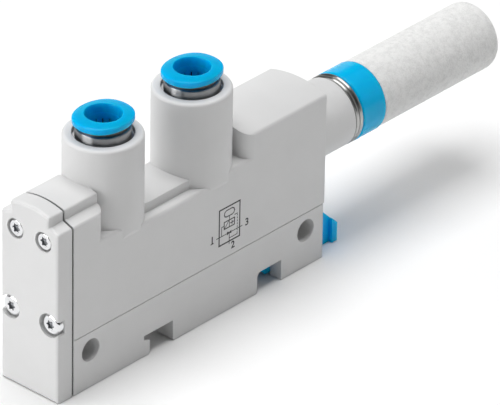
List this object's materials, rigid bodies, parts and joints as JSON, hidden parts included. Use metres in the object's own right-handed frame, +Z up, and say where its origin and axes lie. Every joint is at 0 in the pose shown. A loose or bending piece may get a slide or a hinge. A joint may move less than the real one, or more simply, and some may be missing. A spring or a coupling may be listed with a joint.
{
  "type": "vacuum ejector",
  "caption": "Slim block vacuum ejector with push-in tube fittings on top, a screwed end cover, an open exhaust silencer and a foot that clips on a mounting rail.",
  "frame": {"origin": "on the base, midway between the two mounting holes and on the middle plane of the width", "axes": "+X from the end cover to the silencer, +Y across the width to the left when looking along +X, +Z up from the rail foot to the fittings"},
  "size_m": [0.1196, 0.0148, 0.0492],
  "materials": {
    "housing": "satin moulded",
    "blue": "satin moulded",
    "nickel": "nickel plated",
    "screw": "zinc plated",
    "steel": "bright",
    "brass": "turned",
    "aluminium": "turned",
    "seal": "matte",
    "valve": "matte",
    "porous": "sintered, fine open pores"
  },
  "bodies": {
    "housing": {"upper_housing": "housing", "lower_housing": "housing", "joint_seal": "seal", "end_cover": "housing", "cover_gasket": "seal", "cover_screw_1": "screw", "cover_screw_2": "screw", "cover_screw_3": "screw", "cover_screw_4": "screw", "supply_sleeve": "nickel", "supply_grab_ring": "steel", "supply_tube_seal": "seal", "vacuum_sleeve": "nickel", "vacuum_grab_ring": "steel", "vacuum_tube_seal": "seal", "jet_nozzle": "brass", "jet_o_ring": "seal", "receiver_nozzle": "aluminium", "receiver_front_o_ring": "seal", "receiver_rear_o_ring": "seal", "valve_spring": "steel", "silencer_rim": "nickel", "silencer_collar": "blue", "silencer_o_ring": "seal", "silencer_tube": "porous", "latch_spring": "steel"},
    "supply_ring": {"supply_release_ring": "blue"},
    "vacuum_ring": {"vacuum_release_ring": "blue"},
    "latch": {"rail_latch": "blue"},
    "plunger": {"valve_plunger": "valve", "valve_seal": "seal"}
  },
  "joints": [
    {"name": "supply_ring_press", "type": "slide", "parent": "housing", "child": "supply_ring", "axis": [0, 0, -1], "range_m": [0, 0.0009], "stiffness_N_per_m": 2000, "springref_m": -0.0005},
    {"name": "vacuum_ring_press", "type": "slide", "parent": "housing", "child": "vacuum_ring", "axis": [0, 0, -1], "range_m": [0, 0.0009], "stiffness_N_per_m": 2000, "springref_m": -0.0005},
    {"name": "latch_pull", "type": "slide", "parent": "housing", "child": "latch", "axis": [1, 0, 0], "range_m": [0, 0.0028], "stiffness_N_per_m": 2500, "springref_m": -0.0012, "deforming": ["latch_spring"]},
    {"name": "valve_lift", "type": "slide", "parent": "housing", "child": "plunger", "axis": [-1, 0, 0], "range_m": [0, 0.0008], "stiffness_N_per_m": 800, "springref_m": -0.0005, "deforming": ["valve_spring"]}
  ]
}
